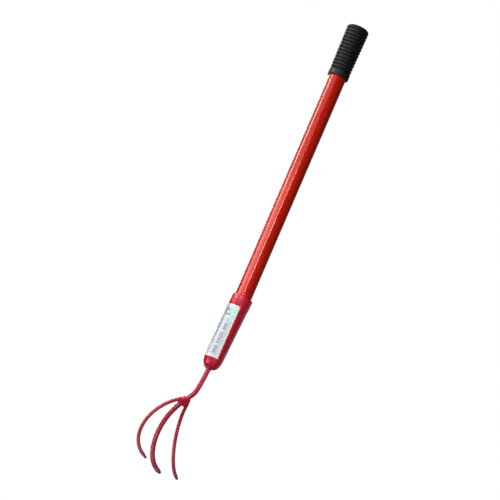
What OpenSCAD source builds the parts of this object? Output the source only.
// Three-tine hand cultivator: ribbed grip, coated tube, tapered socket, bent rod head.
// Millimetres, +Z up the handle towards the grip, +X the way the tine tips point.
// Z = 0 is the middle of the bare tube, where a storage clip takes hold.

/* [Handle] */
// Outside diameter of the handle tube
tube_d = 25; // [20:0.5:32]
// Wall of the handle tube
tube_wall = 1.2; // [0.8:0.1:2.5]
// Bare tube between the grip rim and the socket mouth
bare_length = 351; // [200:1:900]
// Lean of the head away from the tube line, in degrees
head_lean = 3.7; // [0.5:0.1:8]
// How far the tube reaches into the socket
tube_depth = 60; // [35:1:66]

/* [Grip] */
// Length of the grip sleeve, closed end included
grip_length = 79.5; // [60:0.5:140]
// Wall of the grip over the ribs at the closed end
grip_wall = 3.9; // [2.5:0.1:6]
// Thickness of the closed end
grip_end = 4; // [2:0.5:8]
// Number of ribs
grip_ribs = 12; // [6:1:20]
// Depth of the grooves between the ribs
groove_depth = 1; // [0.4:0.1:1.6]

/* [Socket] */
// Length of the socket from mouth to shoulder face
socket_length = 110.5; // [90:0.5:160]
// Wall of the mouth collar
collar_wall = 3; // [2:0.1:5]
// Length of the mouth collar
collar_length = 15.5; // [10:0.5:25]
// Diameter of the rivet that locks the tube
rivet_d = 4; // [3:0.1:5]

/* [Tines] */
// Diameter of the tang and centre tine rod
rod_d = 7; // [5:0.1:9]
// Diameter of the two side tine rods
side_d = 5.3; // [4:0.1:7]
// Bend radius of the side tines
side_radius = 61.3; // [45:0.1:80]
// Tapered length of every tip
tip_length = 9; // [4:0.5:16]
// Turn of each side tine away from the middle, in degrees
fan_turn = 21.9; // [10:0.1:35]
// Outward tilt of each side tine, in degrees
fan_tilt = 15; // [5:0.1:25]

/* [Label] */
// Length of the wrap-round label
label_length = 82; // [40:1:90]
// Thickness of the label
label_thickness = 0.25; // [0.1:0.05:0.5]

/* [Hidden] */
$fn = 72;
tube_r = tube_d / 2;
bore_r = tube_r - tube_wall;
half = bare_length / 2;
bend_r = 60;
bend_reach = bend_r * tan(head_lean / 2);
bend_more = 0.4 / bend_r * 180 / PI;
tube_in_grip = grip_length - grip_end - 2;

collar_r = tube_r + collar_wall;
body_top_r = collar_r - 0.45;
body_low_r = collar_r - 1.4;
shoulder_d = socket_length - 12.5;
face_r = tube_r - 3.9;
plug_top = tube_depth + 8;
rod_r = rod_d / 2;
rod_top = plug_top + 4;
rod_exit = socket_length + 3.5;

side_r = side_d / 2;
tang_arc_r = 173;
tang_arc = 10.35;
crank_r = 18.3;
crank_arc = 37.55;
crank_run = 20.9;
heading_low = head_lean + tang_arc;
heading_out = heading_low + crank_arc;
upper_r = 61.9;
upper_arc = 66.3;
lower_r = 64.6;
lower_arc = 47.9;
side_heading = 56.3;
side_arc = 121.6 - tip_length * 0.93;
side_lead = 7;
hair = 0.03;
lap = 0.5;

// Where the rod path has got to, as [x, z], after each stretch of the tang.
function along(p, h, run) = [p[0] - run * sin(h), p[1] - run * cos(h)];
function turned(p, h, r, a) = [
    p[0] - r * (cos(h) - cos(h + a)),
    p[1] - r * (sin(h + a) - sin(h))
];
head_exit = along([0, -half], head_lean, rod_exit);
crank_start = turned(head_exit, head_lean, tang_arc_r, tang_arc);
crank_end = turned(crank_start, heading_low, crank_r, crank_arc);
tine_start = along(crank_end, heading_out, crank_run);

// Start of a side tine: beside the rod, its skin just clear of it.
side_y = rod_r + side_r + 0.1;
side_at = along(crank_end, heading_out, crank_run * 0.635);

// Everything below the socket mouth is laid out along its own leaning axis,
// with depth counted down from the mouth.
module in_head() {
    translate([0, 0, -half])
        rotate([0, head_lean, 0])
            children();
}

// A round solid from [radius, depth] pairs, depth counted down.
module turned_down(pairs) {
    rotate_extrude()
        polygon([for (p = pairs) [p[0], -p[1]]]);
}

// A straight stretch of rod from a point [x, z] along a heading, let in by e at each end.
module straight(p, h, run, rod, e) {
    q = along(p, h, -e);
    translate([q[0], 0, q[1]])
        rotate([0, 180 + h, 0])
            cylinder(r = rod, h = run + 2 * e);
}

// A bent stretch whose heading grows from h by angle a.
module bend_out(p, h, r, a, rod, e) {
    more = e / r * 180 / PI;
    translate([p[0] - r * cos(h), 0, p[1] + r * sin(h)])
        rotate([90, 0, 0])
            rotate([0, 0, -h - a - more])
                rotate_extrude(angle = a + 2 * more)
                    translate([r, 0])
                        circle(r = rod);
}

// A bent stretch whose heading shrinks from h by angle a.
module bend_in(p, h, r, a, rod, e) {
    more = e / r * 180 / PI;
    translate([p[0] + r * cos(h), 0, p[1] - r * sin(h)])
        rotate([90, 0, 0])
            rotate([0, 0, 180 - h - more])
                rotate_extrude(angle = a + 2 * more)
                    translate([r, 0])
                        circle(r = rod);
}

// The tip: a short full-size root, then a taper to a blunt end.
module tine_end(p, h, rod) {
    translate([p[0], 0, p[1]])
        rotate([0, 180 + h, 0])
            rotate_extrude()
                polygon([
                    [0, 0],
                    [rod, 0],
                    [rod, 0.8],
                    [rod * 0.62, tip_length - 0.6],
                    [rod * 0.46, tip_length],
                    [0, tip_length]
                ]);
}

// The tang and centre tine: one rod from inside the plug to the middle tip.
// Every second stretch is a hair thinner and runs a little way into its neighbours.
module rod_path(rod) {
    thin = rod - hair;
    in_head()
        translate([0, 0, -rod_exit])
            cylinder(r = rod, h = rod_exit - rod_top);
    bend_out(head_exit, head_lean, tang_arc_r, tang_arc, thin, lap);
    bend_out(crank_start, heading_low, crank_r, crank_arc, rod, 0);
    straight(crank_end, heading_out, crank_run, thin, lap);
    bend_in(tine_start, heading_out, upper_r, upper_arc, rod, 0);
    lower = turned(tine_start, heading_out, -upper_r, -upper_arc);
    bend_in(lower, heading_out - upper_arc, lower_r, lower_arc, thin, lap);
    last = turned(lower, heading_out - upper_arc, -lower_r, -lower_arc);
    tine_end(last, heading_out - upper_arc - lower_arc, rod);
}

// A side tine in its own plane, the right-hand one.
module side_tine() {
    thin = side_r - hair;
    translate([side_at[0], side_y, side_at[1]])
        rotate([fan_tilt, 0, -fan_turn]) {
            straight([0, 0], side_heading, side_lead, side_r, 0);
            p = along([0, 0], side_heading, side_lead);
            bend_in(p, side_heading, side_radius, side_arc, thin, lap);
            q = turned(p, side_heading, -side_radius, -side_arc);
            tine_end(q, side_heading - side_arc, side_r);
        }
}

module capsule(a, b, r) {
    d = b - a;
    run = norm(d);
    translate(a) {
        sphere(r = r);
        rotate([0, acos(d[2] / run), atan2(d[1], d[0])]) {
            cylinder(r = r, h = run);
            translate([0, 0, run])
                sphere(r = r);
        }
    }
}

// The bead that joins a side tine to the rod, run along their crotch.
module hub_bead() {
    a = along(side_at, heading_out, -1.5);
    b = along(side_at, heading_out, 6);
    difference() {
        capsule([a[0], side_y * 0.62, a[1]], [b[0], side_y * 0.72, b[1]], 3.3);
        rod_path(rod_r);
        side_tine();
    }
}

module grip_sleeve() {
    rim = half;
    top = half + grip_length;
    low_r = tube_r + grip_wall - 1.05;
    high_r = tube_r + grip_wall;
    first = 11.1;
    pitch = (grip_length - first - 5.9) / grip_ribs;
    slope = (high_r - low_r) / (grip_length - first - 5.9);
    color([0.07, 0.07, 0.08])
        difference() {
            rotate_extrude()
                polygon([
                    [0, rim],
                    [low_r - 0.4, rim],
                    [low_r + 0.1, rim + 0.5],
                    [low_r + 0.1, rim + first - 2.6],
                    [low_r, rim + first - 2.2],
                    [low_r, rim + first],
                    [high_r, top - 5.9],
                    [high_r - 0.1, top - 4],
                    [high_r - 0.7, top - 2.4],
                    [high_r - 1.9, top - 1.1],
                    [high_r - 3.6, top - 0.3],
                    [high_r - 6, top],
                    [0, top]
                ]);
            for (i = [0:grip_ribs]) {
                skin = low_r + slope * pitch * i;
                translate([0, 0, rim + first + pitch * i])
                    rotate_extrude()
                        polygon([
                            [skin - groove_depth, -0.3],
                            [skin - groove_depth, 0.3],
                            [skin - groove_depth * 0.3, pitch * 0.2],
                            [skin + 0.4, pitch * 0.4],
                            [skin + 0.4, pitch * -0.4],
                            [skin - groove_depth * 0.3, pitch * -0.2]
                        ]);
            }
            translate([0, 0, rim - 1])
                cylinder(r = tube_r, h = grip_length - grip_end + 1);
        }
}

module handle_tube() {
    color([0.85, 0.13, 0.06]) {
        difference() {
            translate([0, 0, -half + bend_reach])
                cylinder(r = tube_r, h = bare_length + tube_in_grip - bend_reach);
            translate([0, 0, -half - 5])
                cylinder(r = bore_r, h = bare_length + tube_in_grip + 20);
        }
        difference() {
            in_head()
                translate([0, 0, -tube_depth])
                    cylinder(r = tube_r, h = tube_depth - bend_reach);
            in_head()
                translate([0, 0, -tube_depth - 1])
                    cylinder(r = bore_r, h = tube_depth + 6);
            in_head()
                rivet_hole();
        }
        translate([-bend_r, 0, -half + bend_reach])
            rotate([90, 0, 0])
                rotate([0, 0, -head_lean - bend_more])
                    rotate_extrude(angle = head_lean + 2 * bend_more)
                        translate([bend_r, 0])
                            difference() {
                                circle(r = tube_r - hair);
                                circle(r = bore_r + hair);
                            }
    }
}

// The rivet goes in from the back of the collar.
module rivet_hole() {
    translate([0, 0, -collar_length / 2])
        rotate([0, -90, 0])
            cylinder(r = rivet_d / 2, h = collar_r + 5);
}

module socket() {
    color([0.72, 0.06, 0.18])
        in_head()
            difference() {
                turned_down([
                    [0, 0],
                    [collar_r - 0.8, 0],
                    [collar_r - 0.2, 0.3],
                    [collar_r, 1],
                    [collar_r, collar_length - 0.6],
                    [body_top_r, collar_length],
                    [body_low_r, shoulder_d],
                    [body_low_r - 0.9, shoulder_d + 5],
                    [body_low_r - 2.6, shoulder_d + 9.5],
                    [face_r + 0.9, shoulder_d + 11.6],
                    [face_r, socket_length],
                    [0, socket_length]
                ]);
                turned_down([
                    [0, -1],
                    [tube_r + 0.5, -1],
                    [tube_r + 0.5, 0.4],
                    [tube_r, 3],
                    [tube_r, shoulder_d],
                    [0, shoulder_d]
                ]);
                translate([0, 0, -socket_length - 1])
                    cylinder(r = rod_r, h = 30);
                rivet_hole();
            }
}

module socket_rivet() {
    r = rivet_d / 2;
    color([0.75, 0.76, 0.78])
        in_head()
            translate([0, 0, -collar_length / 2])
                rotate([0, -90, 0])
                    rotate_extrude()
                        polygon([
                            [0, bore_r - 3],
                            [r + 0.5, bore_r - 2.6],
                            [r + 0.9, bore_r - 1.4],
                            [r + 0.6, bore_r - 0.5],
                            [r, bore_r - 0.5],
                            [r, collar_r],
                            [r + 1.6, collar_r],
                            [r + 1.5, collar_r + 0.5],
                            [r + 0.9, collar_r + 1.1],
                            [r - 0.3, collar_r + 1.4],
                            [0, collar_r + 1.5]
                        ]);
}

module tang_plug() {
    color([0.80, 0.65, 0.44])
        in_head()
            difference() {
                turned_down([
                    [0, plug_top],
                    [tube_r - 1, plug_top],
                    [tube_r, plug_top + 1],
                    [tube_r, shoulder_d],
                    [0, shoulder_d]
                ]);
                translate([0, 0, -shoulder_d - 1])
                    cylinder(r = rod_r, h = shoulder_d - rod_top + 1);
            }
}

module centre_tine() {
    color([0.74, 0.07, 0.18])
        rod_path(rod_r);
}

module right_tine() {
    color([0.74, 0.07, 0.18])
        side_tine();
}

module left_tine() {
    color([0.74, 0.07, 0.18])
        mirror([0, 1, 0])
            side_tine();
}

module tang_weld() {
    color([0.68, 0.06, 0.16])
        in_head()
            turned_down([
                [rod_r, socket_length],
                [rod_r + 2.7, socket_length],
                [rod_r + 2.3, socket_length + 0.9],
                [rod_r + 1.1, socket_length + 1.8],
                [rod_r, socket_length + 3.2]
            ]);
}

module right_hub_weld() {
    color([0.70, 0.06, 0.16])
        hub_bead();
}

module left_hub_weld() {
    color([0.70, 0.06, 0.16])
        mirror([0, 1, 0])
            hub_bead();
}

// The label wraps the body on the -Y side, cut square to that side.
module label() {
    top = collar_length + 0.8;
    low = min(top + label_length, shoulder_d - 0.3);
    fall = (body_top_r - body_low_r) / (shoulder_d - collar_length);
    r1 = body_top_r - fall * (top - collar_length);
    r2 = body_top_r - fall * (low - collar_length);
    color([0.92, 0.95, 0.96])
        in_head()
            intersection() {
                turned_down([
                    [r1, top],
                    [r1 + label_thickness, top],
                    [r2 + label_thickness, low],
                    [r2, low]
                ]);
                translate([-r2 + 0.3, -30, -low - 5])
                    cube([2 * r2 - 0.6, 30, low - top + 10]);
            }
}

grip_sleeve();
handle_tube();
socket();
socket_rivet();
tang_plug();
centre_tine();
left_tine();
right_tine();
tang_weld();
left_hub_weld();
right_hub_weld();
label();
